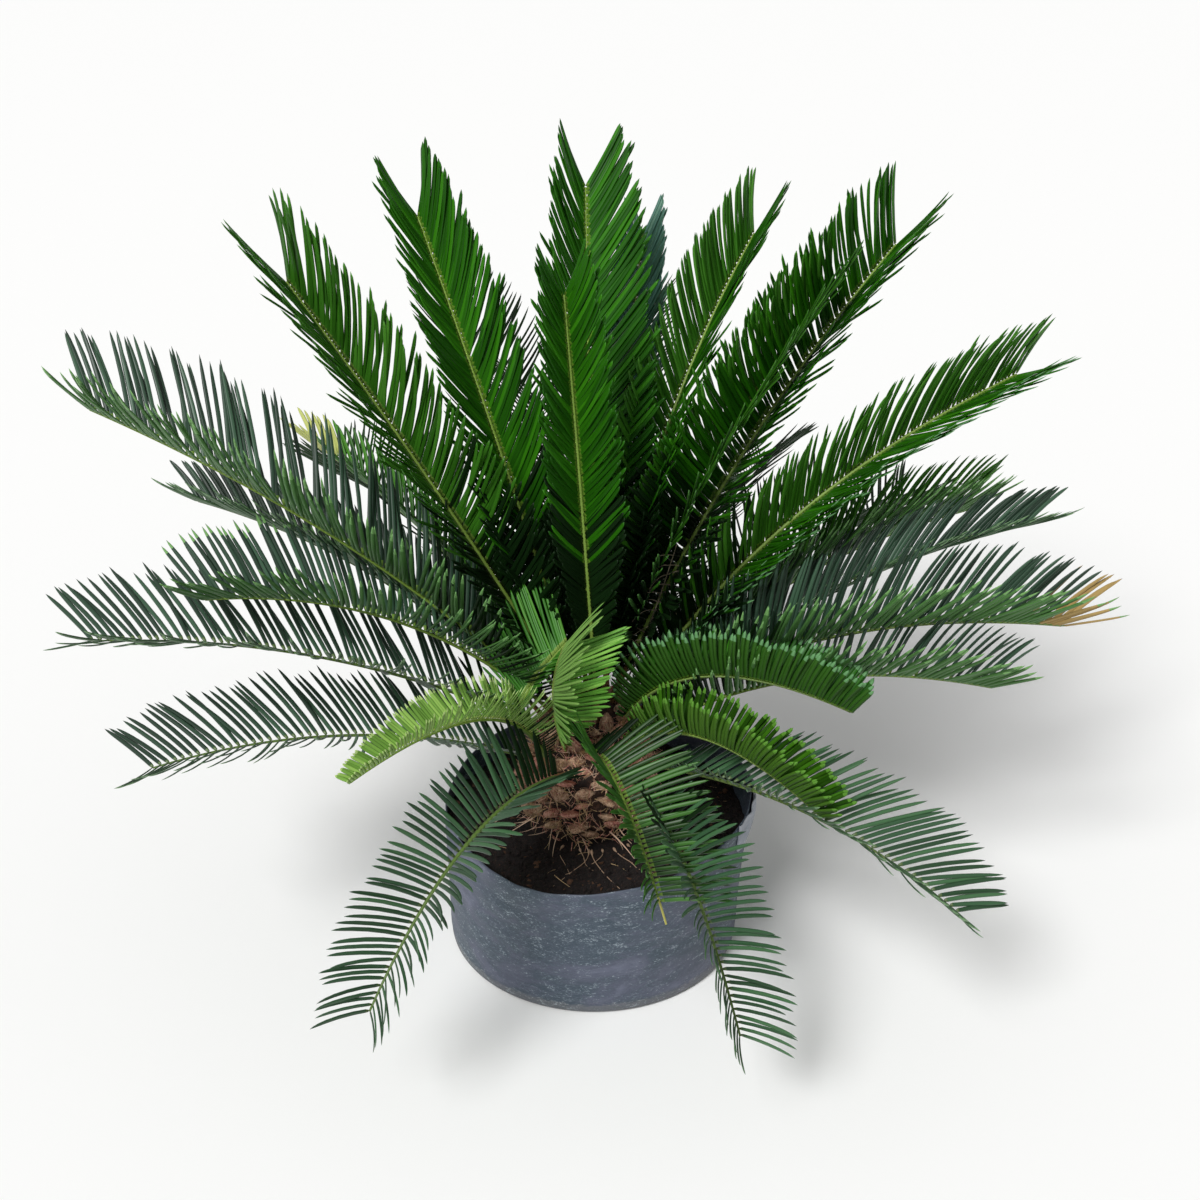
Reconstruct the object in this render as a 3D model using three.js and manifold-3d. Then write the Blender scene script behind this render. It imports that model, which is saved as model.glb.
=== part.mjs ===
// Sago palm (Cycas revoluta) in a low nursery grow bag.
// Millimetres, +Z up. The origin is the centre of the bag's flat underside.
// Azimuths run from +X towards +Y in degrees.
import * as THREE from 'three';
import Module from 'manifold-3d';

const wasm = await Module();
wasm.setup();
const { Manifold, Mesh: SolidMesh } = wasm;

const RAD = Math.PI / 180;
const CLEAR = 0.3; // between neighbouring solids

// grow bag
const BAG_FOOT_RADIUS = 176;
const BAG_RIM_RADIUS = 182;
const BAG_RIM_SHIFT = 6; // the mouth sags this far towards +X
const BAG_RIM_HEIGHT = 193; // mean height of the cut edge
const BAG_RIM_TILT = 17;
const BAG_RIM_HIGH_SIDE = 48; // azimuth of the highest rim
const BAG_WALL = 2.4;
const BAG_CORNER = 7;
const BAG_SEGMENTS = 60;

// soil
const SOIL_LEVEL = 164;
const SOIL_SEAT = 84; // flat disc that the trunk stands on
const SOIL_DIP = 7;

// trunk (caudex)
const TRUNK_CUT = SOIL_LEVEL + CLEAR;
const TRUNK_LEAN = 9; // foot towards -X, tip upright
const TRUNK_SIDES = 42;
const TRUNK_PROFILE = [
  [0, 70], [12, 73], [34, 75], [62, 73], [90, 67], [116, 58], [137, 46], [151, 32], [159, 18],
];
const TRUNK_TIP = 163; // above the cut
const SCALE_COLUMNS = 7; // old leaf bases round the trunk
const SCALE_DEPTH = 3.4;

// tiers of frond feet on the trunk: height and radius
const CROWN = [318, 25];
const UPPER = [306, 43];
const MIDDLE = [287, 57];
const LOWER = [258, 67];

// fronds
const RIB_WIDTH = 8;
const RIB_TIP_WIDTH = 2.6;
const RIB_DEPTH = 0.8; // of the width
const RIB_SUNK = 9; // before the foot is cut to the trunk
const RIB_STEPS = 240;
const LEAF_PITCH = 23.5;
const STALK_STEPS = 3; // along the bare stalk
const LEAF_GROWN = 0.1; // leaflets reach their full length this far past the stalk
const LEAF_SHORTEN = 0.6; // and grow shorter from here
const LEAF_END_WIDTH = 0.36; // of the pitch
const LEAF_GAP = 0.7;

// foot: azimuth and tier. tip: azimuth, reach from the axis, height. rise: degrees at the foot.
// leaf: longest leaflet. open: angle of leaflet to rib, less by close at the tip.
// fold: how far the two sides are folded up. turn: roll of the blade about its rib.
// lift: where the rib bends, share of its chord. last: length of the leaflets at the very tip,
// share of the longest. first and end: where the leaflets begin, and where the rib ends and its
// last leaflets run on, shares of the length.
const COMMON = {
  leaf: 120, open: 72, close: 20, fold: 45, turn: 0, lift: 0.5, first: 0.12, end: 0.93, last: 0.6,
};
const frond = (number, foot, tip, rise, more) => ({
  name: `frond_${String(number).padStart(2, '0')}`, foot, tip, rise, ...COMMON, ...more,
});
const FRONDS = [
  // erect young fronds
  frond(1, [164, CROWN], [154, 450, 846], 55, {
    leaf: 140, open: 71, close: 33, fold: 66, turn: 36, end: 0.86, last: 0.68,
  }),
  frond(2, [128, CROWN], [132, 344, 910], 64, {
    leaf: 114, open: 49, close: 24, turn: 21, end: 0.87, last: 0.48,
  }),
  frond(3, [-80, CROWN], [117, 80, 865], 81, {
    leaf: 95, open: 52, fold: 52, turn: 15, first: 0.25, end: 0.88,
  }),
  frond(4, [94, CROWN], [92, 267, 900], 77, { open: 50, fold: 39, turn: -14, last: 0.54 }),
  frond(5, [70, UPPER], [80, 369, 807], 72, { leaf: 86, open: 47, fold: 48, turn: -7, last: 0.46 }),
  frond(6, [60, CROWN], [58, 432, 829], 78, {
    leaf: 104, open: 63, fold: 62, turn: -11, end: 0.88, last: 0.44,
  }),
  frond(7, [52, UPPER], [37, 377, 782], 80, { leaf: 113, open: 71, fold: 70, turn: -25, lift: 0.36 }),
  frond(8, [27, CROWN], [37, 523, 841], 60, {
    leaf: 136, open: 84, close: 26, fold: 65, turn: -26, end: 0.87, last: 0.52,
  }),
  // right-hand side
  frond(9, [14, UPPER], [17, 573, 693], 59, {
    leaf: 112, open: 57, close: 12, fold: 61, turn: -45, lift: 0.48, end: 0.9, last: 0.5,
  }),
  frond(10, [22, MIDDLE], [18, 517, 503], 51, {
    leaf: 111, open: 61, fold: 72, turn: -20, end: 0.9, last: 0.53,
  }),
  frond(11, [0, MIDDLE], [9, 545, 517], 46, { leaf: 91, open: 45, fold: 46, turn: -13 }),
  frond(12, [-16, UPPER], [-7, 561, 457], 39, { leaf: 113, open: 64, fold: 62, turn: -11, lift: 0.52 }),
  frond(13, [-21, MIDDLE], [-6, 473, 366], 38, {
    leaf: 114, open: 78, close: 17, fold: 71, turn: -25, end: 0.95,
  }),
  frond(14, [-44, UPPER], [-22, 329, 372], 64, {
    leaf: 66, open: 86, close: 10, fold: 52, turn: 20, lift: 0.54,
  }),
  frond(15, [-50, MIDDLE], [-39, 337, 289], 47, {
    leaf: 58, open: 81, close: 15, fold: 66, turn: 2, lift: 0.52,
  }),
  frond(16, [-34, LOWER], [-37, 502, 231], 17, {
    leaf: 113, open: 69, fold: 26, turn: 13, lift: 0.55, end: 0.95, last: 0.35,
  }),
  // towards the front
  frond(17, [-102, MIDDLE], [-73, 291, 189], 40, {
    leaf: 97, open: 83, close: 9, fold: 47, turn: 13, lift: 0.42, last: 0.53,
  }),
  frond(18, [-66, LOWER], [-66, 402, 100], 30, {
    leaf: 93, open: 86, fold: 60, lift: 0.48, first: 0.36,
  }),
  frond(19, [-118, LOWER], [-123, 449, 142], 23, {
    leaf: 95, open: 81, fold: 54, turn: 16, lift: 0.54, first: 0.07, last: 0.54,
  }),
  // left-hand side
  frond(20, [-154, LOWER], [-160, 542, 339], 29, { leaf: 112, open: 77, fold: 19, turn: -5, lift: 0.55 }),
  frond(21, [-172, MIDDLE], [-165, 591, 489], 36, {
    leaf: 135, open: 78, fold: 20, turn: -7, lift: 0.54, last: 0.55,
  }),
  frond(22, [-168, UPPER], [-170, 463, 497], 50, { leaf: 132, open: 82, fold: 29, turn: -10, lift: 0.58 }),
  frond(23, [167, MIDDLE], [168, 505, 540], 51, { leaf: 85, open: 56, fold: 40, lift: 0.53 }),
  frond(24, [170, UPPER], [-176, 595, 739], 50, {
    leaf: 140, open: 64, close: 12, fold: 36, end: 0.9, last: 0.38,
  }),
  frond(25, [146, UPPER], [148, 430, 566], 52, { leaf: 70, open: 50, fold: 50 }),
  // short pale fronds in the middle and the pale arch
  frond(26, [-148, UPPER], [-143, 27, 421], 176, {
    leaf: 98, open: 64, close: 8, fold: 30, turn: -13, lift: 0.91, first: 0.5, last: 0.75,
  }),
  frond(27, [-124, MIDDLE], [-125, 48, 430], 117, {
    leaf: 91, open: 59, close: 6, fold: 70, turn: -66, lift: 0.86, first: 0.3, last: 0.75,
  }),
  frond(28, [-140, LOWER], [-130, 409, 403], 70, {
    leaf: 68, open: 86, close: 37, fold: 51, turn: -6, last: 0.3,
  }),
  // far side
  frond(29, [118, UPPER], [113, 500, 640], 60),
  frond(30, [93, UPPER], [84, 540, 610], 58),
  frond(31, [97, MIDDLE], [98, 590, 470], 46),
  frond(32, [66, MIDDLE], [64, 560, 410], 42),
  frond(33, [128, MIDDLE], [128, 600, 400], 40),
  frond(34, [43, MIDDLE], [42, 590, 375], 38),
];

const clamp = (x, a = 0, b = 1) => Math.min(b, Math.max(a, x));
const mix = (a, b, t) => a + (b - a) * t;
const add = (a, b, s = 1) => [a[0] + b[0] * s, a[1] + b[1] * s, a[2] + b[2] * s];
const dot = (a, b) => a[0] * b[0] + a[1] * b[1] + a[2] * b[2];
const cross = (a, b) => [
  a[1] * b[2] - a[2] * b[1],
  a[2] * b[0] - a[0] * b[2],
  a[0] * b[1] - a[1] * b[0],
];
const unit = (a) => {
  const n = Math.hypot(...a);
  return [a[0] / n, a[1] / n, a[2] / n];
};
const polar = (azimuth, reach, height) => [
  reach * Math.cos(azimuth * RAD),
  reach * Math.sin(azimuth * RAD),
  height,
];

// ---- closed shells from rings of points, first ring lowest -----------------
function shell(rings, bottom, top) {
  const n = rings[0].length;
  const points = rings.flat();
  const faces = [];
  for (let r = 0; r + 1 < rings.length; r += 1) {
    for (let i = 0; i < n; i += 1) {
      const a = r * n + i;
      const b = r * n + ((i + 1) % n);
      faces.push([a, b, b + n], [a, b + n, a + n]);
    }
  }
  const low = points.push(bottom) - 1;
  const high = points.push(top) - 1;
  const last = (rings.length - 1) * n;
  for (let i = 0; i < n; i += 1) {
    const j = (i + 1) % n;
    faces.push([low, j, i], [high, last + i, last + j]);
  }
  return { points, faces };
}

function solid({ points, faces }) {
  return new Manifold(
    new SolidMesh({
      numProp: 3,
      vertProperties: new Float32Array(points.flat()),
      triVerts: new Uint32Array(faces.flat()),
    }),
  );
}

function fromSolid(body) {
  const { vertProperties, triVerts } = body.getMesh();
  const points = [];
  for (let i = 0; i < vertProperties.length; i += 3) {
    points.push([vertProperties[i], vertProperties[i + 1], vertProperties[i + 2]]);
  }
  const faces = [];
  for (let i = 0; i < triVerts.length; i += 3) {
    faces.push([triVerts[i], triVerts[i + 1], triVerts[i + 2]]);
  }
  return { points, faces };
}

// ---- grow bag --------------------------------------------------------------
function rimHeight(a) {
  const sway = BAG_RIM_TILT * Math.cos(a - BAG_RIM_HIGH_SIDE * RAD);
  return BAG_RIM_HEIGHT + sway + 2.2 * Math.cos(3 * a + 1.9) + 1.6 * Math.cos(5 * a + 0.4);
}

function bagPoint(a, z, inset) {
  const h = z / BAG_RIM_HEIGHT;
  const rounding = z < BAG_CORNER ? BAG_CORNER - Math.sqrt(z * (2 * BAG_CORNER - z)) : 0;
  const slack = (1.5 * Math.cos(4 * a + 0.8) + 1.1 * Math.cos(7 * a + 2.1)) * clamp(h) ** 2;
  const r = mix(BAG_FOOT_RADIUS, BAG_RIM_RADIUS, h) - rounding + slack - inset;
  return [r * Math.cos(a) + BAG_RIM_SHIFT * clamp(h) ** 2, r * Math.sin(a), z];
}

function bagRing(level, inset) {
  const ring = [];
  for (let i = 0; i < BAG_SEGMENTS; i += 1) {
    const a = (i / BAG_SEGMENTS) * 2 * Math.PI;
    ring.push(bagPoint(a, level(a), inset));
  }
  return ring;
}

function growBag() {
  const outer = [0, 2, BAG_CORNER].map((z) => bagRing(() => z, 0));
  [0.35, 0.7, 1].forEach((t) => outer.push(bagRing((a) => mix(BAG_CORNER, rimHeight(a), t), 0)));
  const inner = [1, 0.7, 0.35].map((t) => {
    return bagRing((a) => mix(BAG_CORNER, rimHeight(a), t), BAG_WALL);
  });
  inner.push(bagRing(() => BAG_CORNER, BAG_WALL));
  inner.push(bagRing(() => BAG_WALL, BAG_WALL + 1.5));
  return shell([...outer, ...inner], [0, 0, 0], [0, 0, BAG_WALL]);
}

// ---- soil ------------------------------------------------------------------
function soilHeight(a, share) {
  const fall = SOIL_DIP * share ** 1.5;
  return SOIL_LEVEL - fall + share * (1.8 * Math.sin(3 * a + share * 5) + 1.3 * Math.sin(7 * a - 1));
}

function soilBody() {
  const rings = [];
  const inset = BAG_WALL + CLEAR;
  rings.push(bagRing(() => BAG_WALL + CLEAR, inset + 2));
  rings.push(bagRing(() => BAG_CORNER + CLEAR, inset));
  rings.push(bagRing((a) => mix(BAG_CORNER, rimHeight(a), 0.35), inset));
  rings.push(bagRing((a) => mix(BAG_CORNER, rimHeight(a), 0.7), inset));
  rings.push(bagRing((a) => soilHeight(a, 1), inset));
  [0.66, 0.33, 0].forEach((share) => {
    const ring = [];
    for (let i = 0; i < BAG_SEGMENTS; i += 1) {
      const a = (i / BAG_SEGMENTS) * 2 * Math.PI;
      const edge = bagPoint(a, soilHeight(a, 1), inset);
      const seat = [SOIL_SEAT * Math.cos(a), SOIL_SEAT * Math.sin(a), 0];
      const z = soilHeight(a, share);
      ring.push([mix(seat[0], edge[0], share), mix(seat[1], edge[1], share), z]);
    }
    rings.push(ring);
  });
  return shell(rings, [0, 0, BAG_WALL + CLEAR], [0, 0, SOIL_LEVEL]);
}

// ---- trunk -----------------------------------------------------------------
function trunkRadius(h) {
  const p = TRUNK_PROFILE;
  if (h <= 0) return p[0][1];
  for (let i = 1; i < p.length; i += 1) {
    if (h <= p[i][0]) {
      const t = (h - p[i - 1][0]) / (p[i][0] - p[i - 1][0]);
      return mix(p[i - 1][1], p[i][1], t);
    }
  }
  const t = clamp((h - p.at(-1)[0]) / (TRUNK_TIP - p.at(-1)[0]));
  return p.at(-1)[1] * Math.sqrt(1 - t);
}

function trunkRelief(a, h) {
  const u = (a / (2 * Math.PI)) * SCALE_COLUMNS;
  const v = h / 26;
  const lattice = Math.cos((u + v) * 2 * Math.PI) * Math.cos((u - v) * 2 * Math.PI);
  return SCALE_DEPTH * lattice * clamp(h / 8) * clamp((TRUNK_TIP - 30 - h) / 30);
}

function trunkBody(grow) {
  const levels = [];
  for (let h = 0; h < 146; h += 9) levels.push(h);
  levels.push(151, 159);
  const rings = levels.map((h) => {
    const ring = [];
    for (let i = 0; i < TRUNK_SIDES; i += 1) {
      const a = (i / TRUNK_SIDES) * 2 * Math.PI;
      const r = trunkRadius(h) + trunkRelief(a, h) + grow;
      const x = r * Math.cos(a) - TRUNK_LEAN * (1 - h / TRUNK_TIP) ** 1.5;
      ring.push([x, r * Math.sin(a), TRUNK_CUT + h + (h > 140 ? grow : 0)]);
    }
    return ring;
  });
  const x = -TRUNK_LEAN;
  return shell(rings, [x, 0, TRUNK_CUT], [0, 0, TRUNK_CUT + TRUNK_TIP + grow]);
}

// ---- fronds ----------------------------------------------------------------
function ribCurve(f) {
  const start = polar(f.foot[0], f.foot[1][1], f.foot[1][0]);
  const end = polar(...f.tip);
  const chord = add(end, start, -1);
  const length = Math.hypot(...chord);
  const heading = Math.atan2(chord[1], chord[0]) / RAD;
  const rise = polar(heading, Math.cos(f.rise * RAD), Math.sin(f.rise * RAD));
  const bend = add(start, rise, length * f.lift);
  const at = (t) => {
    const a = (1 - t) * (1 - t);
    const b = 2 * t * (1 - t);
    return [0, 1, 2].map((i) => a * start[i] + b * bend[i] + t * t * end[i]);
  };
  return { at, level: [Math.sin(heading * RAD), -Math.cos(heading * RAD), 0] };
}

function stations(f) {
  const { at: point, level } = ribCurve(f);
  const fine = [];
  for (let i = 0; i <= RIB_STEPS; i += 1) fine.push(point(i / RIB_STEPS));
  const run = [0];
  for (let i = 1; i <= RIB_STEPS; i += 1) {
    run.push(run[i - 1] + Math.hypot(...add(fine[i], fine[i - 1], -1)));
  }
  const total = run[RIB_STEPS];
  const pairs = Math.round((total * (f.end - f.first)) / LEAF_PITCH);
  const shares = [];
  for (let i = 0; i < STALK_STEPS; i += 1) shares.push((f.first * i) / STALK_STEPS);
  for (let i = 0; i <= pairs; i += 1) shares.push(mix(f.first, f.end, i / pairs));
  const roll = f.turn * RAD;
  const list = shares.map((x) => {
    const s = x * total;
    let i = 1;
    while (i < RIB_STEPS && run[i] < s) i += 1;
    const t = (s - run[i - 1]) / (run[i] - run[i - 1]);
    const at = fine[i].map((v, k) => mix(fine[i - 1][k], v, t));
    const along = unit(add(fine[i], fine[i - 1], -1));
    const up = cross(level, along);
    const side = add(level.map((v) => v * Math.cos(roll)), up, Math.sin(roll));
    return { x, at, along, side, up: cross(side, along) };
  });
  const first = list[0];
  list.unshift({ ...first, at: add(first.at, first.along, -RIB_SUNK) });
  return list;
}

function leafLength(f, x) {
  const grown = clamp((x - f.first / 2) / (f.first / 2 + LEAF_GROWN)) ** 0.6;
  const shorter = clamp((x - LEAF_SHORTEN) / (1 - LEAF_SHORTEN)) ** 2.5;
  return f.leaf * grown * (1 - (1 - f.last) * shorter);
}

function ribSection(st) {
  const w = mix(RIB_WIDTH, RIB_TIP_WIDTH, st.x) / 2;
  const d = w * RIB_DEPTH;
  return [
    add(add(st.at, st.side, w), st.up, -d),
    add(add(st.at, st.side, w), st.up, d),
    add(add(st.at, st.side, -w), st.up, d),
    add(add(st.at, st.side, -w), st.up, -d),
  ];
}

// corners of the leaflet on one side (1 or -1) between two rib stations
function leafEnd(f, a, b, side, stretch) {
  const x = (a.x + b.x) / 2;
  const angle = (f.open - f.close * x ** 1.5) * RAD;
  const fold = f.fold * RAD;
  const across = add(a.side.map((v) => v * side * Math.cos(fold)), a.up, Math.sin(fold));
  const way = add(a.along.map((v) => v * Math.cos(angle)), across, Math.sin(angle));
  const middle = add(a.at, b.at).map((v) => v / 2);
  const end = add(middle, way, leafLength(f, x) * stretch);
  const half = (Math.hypot(...add(b.at, a.at, -1)) * LEAF_END_WIDTH) / 2;
  return [add(end, a.along, -half), add(end, a.along, half)];
}

// two convex sets of points are apart by at least the gap if some axis parts them
function hull(points, faces) {
  const low = [Infinity, Infinity, Infinity];
  const high = [-Infinity, -Infinity, -Infinity];
  points.forEach((p) => {
    for (let k = 0; k < 3; k += 1) {
      low[k] = Math.min(low[k], p[k]);
      high[k] = Math.max(high[k], p[k]);
    }
  });
  const normals = [];
  const edges = [];
  faces.forEach((q) => {
    const e = add(points[q[1]], points[q[0]], -1);
    const g = add(points[q[2]], points[q[0]], -1);
    const n = cross(e, g);
    if (Math.hypot(...n) > 1e-9) normals.push(unit(n));
    edges.push(unit(e), unit(add(points[q[2]], points[q[1]], -1)));
  });
  return { points, low, high, normals, edges };
}

function apart(p, q, gap) {
  for (let k = 0; k < 3; k += 1) {
    if (p.low[k] > q.high[k] + gap || q.low[k] > p.high[k] + gap) return true;
  }
  const test = (axis) => {
    let a = -Infinity;
    let b = Infinity;
    let c = -Infinity;
    let d = Infinity;
    p.points.forEach((v) => {
      const s = dot(v, axis);
      a = Math.max(a, s);
      b = Math.min(b, s);
    });
    q.points.forEach((v) => {
      const s = dot(v, axis);
      c = Math.max(c, s);
      d = Math.min(d, s);
    });
    return d > a + gap || b > c + gap;
  };
  if (p.normals.some(test) || q.normals.some(test)) return true;
  return p.edges.some((e) => q.edges.some((g) => {
    const n = cross(e, g);
    return Math.hypot(...n) > 1e-6 && test(unit(n));
  }));
}

const BLOCK_FACES = [[0, 1, 2], [4, 5, 6], [0, 1, 5], [1, 2, 6], [2, 3, 7], [3, 0, 4]];
const LEAF_FACES = [[0, 1, 5], [3, 2, 5], [0, 3, 4], [1, 2, 5], [0, 1, 4]];

function insideOthers(points) {
  return points.some((p) => {
    const r = Math.hypot(p[0], p[1]);
    if (p[2] < 4) return true;
    if (p[2] < 215 && r < 196) return p[2] < 190 + 0.1 * r;
    return p[2] < TRUNK_CUT + TRUNK_TIP && r < trunkRadius(p[2] - TRUNK_CUT) + SCALE_DEPTH + 1;
  });
}

function frondBodies() {
  const plants = FRONDS.map((f) => ({ ...f, list: stations(f), leaves: new Map() }));
  const placed = [];
  plants.forEach((f) => {
    f.sections = f.list.map(ribSection);
    for (let k = 0; k + 1 < f.list.length; k += 1) {
      placed.push({ owner: f.name, hull: hull([...f.sections[k], ...f.sections[k + 1]], BLOCK_FACES) });
    }
  });
  const stretches = [1, 0.86, 0.72, 0.58, 0.44, 0.32];
  plants.forEach((f) => {
    for (let k = 0; k + 1 < f.list.length; k += 1) {
      const [a, b] = [f.list[k], f.list[k + 1]];
      if (a.x < f.first - 1e-6) continue;
      [1, -1].forEach((side) => {
        const i = side > 0 ? 0 : 3;
        const j = side > 0 ? 1 : 2;
        const root = [f.sections[k][i], f.sections[k + 1][i], f.sections[k + 1][j], f.sections[k][j]];
        for (const stretch of stretches) {
          const ends = leafEnd(f, a, b, side, stretch);
          const points = [...root, ...ends];
          const body = hull(points, LEAF_FACES);
          const half = add(ends[0], root[0]).map((v) => v / 2);
          const blocked = insideOthers([...ends, half])
            || placed.some((p) => p.owner !== f.name && !apart(body, p.hull, LEAF_GAP));
          if (!blocked) {
            f.leaves.set(`${k},${side}`, ends);
            placed.push({ owner: f.name, hull: body });
            break;
          }
        }
      });
    }
  });
  return plants;
}

function frondMesh(f) {
  const points = f.sections.flat();
  const faces = [];
  const last = f.sections.length - 1;
  for (let k = 0; k < last; k += 1) {
    const [a, b] = [4 * k, 4 * k + 4];
    faces.push([a + 1, b + 1, b + 2], [a + 1, b + 2, a + 2]);
    faces.push([a + 3, b + 3, b], [a + 3, b, a]);
    [1, -1].forEach((side) => {
      const [i, j] = side > 0 ? [0, 1] : [3, 2];
      const ends = f.leaves.get(`${k},${side}`);
      const quad = [];
      if (!ends) {
        quad.push([a + i, b + i, b + j], [a + i, b + j, a + j]);
      } else {
        const p = points.push(ends[0]) - 1;
        const q = points.push(ends[1]) - 1;
        quad.push([a + i, q, p], [a + i, b + i, q], [b + j, a + j, p], [b + j, p, q]);
        quad.push([a + j, a + i, p], [b + i, b + j, q]);
      }
      quad.forEach((t) => faces.push(side > 0 ? t : [t[0], t[2], t[1]]));
    });
  }
  faces.push([0, 1, 2], [0, 2, 3]);
  const e = 4 * last;
  faces.push([e, e + 2, e + 1], [e, e + 3, e + 2]);
  return { points, faces };
}

// ---- the part --------------------------------------------------------------
function named(name, { points, faces }, color, roughness) {
  const geometry = new THREE.BufferGeometry();
  geometry.setAttribute('position', new THREE.Float32BufferAttribute(points.flat(), 3));
  geometry.setIndex(faces.flat());
  geometry.computeVertexNormals();
  const material = new THREE.MeshStandardMaterial({ color, roughness, metalness: 0 });
  const mesh = new THREE.Mesh(geometry, material);
  mesh.name = name;
  return mesh;
}

const PALE = new Set(['frond_14', 'frond_15', 'frond_26', 'frond_27', 'frond_28']);
const part = new THREE.Group();
part.name = 'sago_palm';
part.add(named('grow_bag', growBag(), 0x56646f, 0.5));
part.add(named('soil', soilBody(), 0x2a1b14, 0.95));
part.add(named('trunk', trunkBody(0), 0x8a5f47, 0.9));
const trunkRoom = solid(trunkBody(CLEAR));
frondBodies().forEach((f) => {
  const body = solid(frondMesh(f)).subtract(trunkRoom);
  const color = PALE.has(f.name) ? 0x6f9f3c : 0x2a5a1e;
  part.add(named(f.name, fromSolid(body), color, 0.45));
});
export default part;
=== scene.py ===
"""Sago palm in a soft nursery bag: leaflets, ribs, trunk, soil, bag and studio."""
import math

import bpy
import numpy as np
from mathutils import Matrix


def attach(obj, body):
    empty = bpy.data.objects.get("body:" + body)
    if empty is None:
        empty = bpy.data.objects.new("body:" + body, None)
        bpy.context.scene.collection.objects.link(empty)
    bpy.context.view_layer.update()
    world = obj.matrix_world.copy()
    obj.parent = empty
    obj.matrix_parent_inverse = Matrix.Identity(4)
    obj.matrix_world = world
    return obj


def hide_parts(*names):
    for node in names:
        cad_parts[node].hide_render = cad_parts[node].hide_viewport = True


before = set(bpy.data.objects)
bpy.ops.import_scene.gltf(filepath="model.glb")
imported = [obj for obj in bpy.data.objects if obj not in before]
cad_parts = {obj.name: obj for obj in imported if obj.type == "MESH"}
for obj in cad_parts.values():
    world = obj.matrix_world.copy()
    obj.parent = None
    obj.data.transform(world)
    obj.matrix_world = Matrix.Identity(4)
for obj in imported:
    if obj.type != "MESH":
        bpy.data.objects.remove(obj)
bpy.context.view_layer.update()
MM = 0.001
RNG = np.random.default_rng(11)

# ---- sizes in millimetres, the same as the solids' -------------------------
BAG_FOOT_RADIUS = 176
BAG_RIM_RADIUS = 182
BAG_RIM_SHIFT = 6  # the mouth sags this far towards +X
BAG_RIM_HEIGHT = 193  # mean height of the cut edge
BAG_RIM_TILT = 17
BAG_RIM_HIGH_SIDE = math.radians(48)
BAG_WALL = 2.4
BAG_CORNER = 7
SOIL_LEVEL = 164
SOIL_SEAT = 84  # radius of the flat disc that the trunk stands on
SOIL_DIP = 7
TRUNK_CUT = 164.3
TRUNK_TIP = 163  # above the cut
TRUNK_LEAN = 9  # the foot stands this far towards -X
TRUNK_PROFILE = np.array([  # height above the cut, and radius
    [0, 70], [12, 73], [34, 75], [62, 73], [90, 67], [116, 58], [137, 46], [151, 32], [159, 18],
    [163, 0],
])
# tiers of the fronds' feet: height and distance from the axis
CROWN, UPPER, MIDDLE, LOWER = (318, 25), (306, 43), (287, 57), (258, 67)
RIB_WIDTH = 8
RIB_TIP_WIDTH = 2.6
RIB_DEPTH = 0.8  # of the width
RIB_SUNK = 9  # length of the foot inside the trunk
LEAF_GROWN = 0.1  # leaflets reach their full length this far past the stalk
LEAF_SHORTEN = 0.6  # and grow shorter from here, shares of the rib

# ---- what only the dressed part has ----------------------------------------
RIB_SHARE = 0.82  # the leaflets' feet cover the rest of the rib's width
RIB_FLAT = 0.8  # the upper side is flatter than the underside
RIB_FELT = 0.05  # share of the rib that is swollen and felted
RIB_SIDES = 10
LEAF_PITCH = 8.4
LEAF_WIDTH = 5.8
LEAF_GATHER = 0.4
LEAF_TWIST = 22
LEAF_CURL = 0.03
LEAF_SWEEP = 0.07  # how far a leaflet bows forward, share of its length
LEAF_SAG = 0.05
SPINE_FIRST = 0.045  # the lowest leaflets are short spines, from this share of the rib
SPINE_LENGTH = 11
FILM_SEEN = 1.3  # thickness of the film at the cut rim
# how much the leaflets of one frond differ, as standard deviations
VARY_PLACE = 0.0012
VARY_ANGLE, VARY_FOLD, VARY_TWIST = 1.6, 2.5, 6  # degrees
VARY_LENGTH, VARY_SWEEP, VARY_CURL = 0.03, 0.02, 0.02
VARY_PAINTED_SHADE, VARY_DRY = 0.05, 0.02
GOLDEN_ANGLE = math.radians(137.5)


def frond(foot, tip, rise, look, leaf=120, wide=72, close=20, fold=45, turn=0, lift=0.5,
          first=0.12, end=0.93, last=0.6, **more):
    """Values of one frond, in degrees, millimetres and shares of the rib's length.

    foot: azimuth and tier. tip: azimuth, reach from the axis and height. rise: slope at the foot.
    leaf: longest leaflet. wide: angle of leaflet to rib, less by close at the tip.
    fold: how far the two sides are folded up. turn: roll of the blade about its rib.
    lift: where the rib bends. first: where the leaflets begin. end: where the rib ends.
    last: length of the leaflets at the tip, share of the longest.
    more may give curl (of the leaflets' tips), bare_end, dry_end and pale_end (where the rib is
    bare and the leaflets dry or pale), slimmer (how much shorter the leaflets get towards the tip)
    and hug (what is left of the leaflets on one side).
    """
    return dict(foot=foot, tip=tip, rise=rise, look=look, leaf=leaf, wide=wide, close=close,
                fold=fold, turn=turn, lift=lift, first=first, end=end, last=last, **more)


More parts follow.
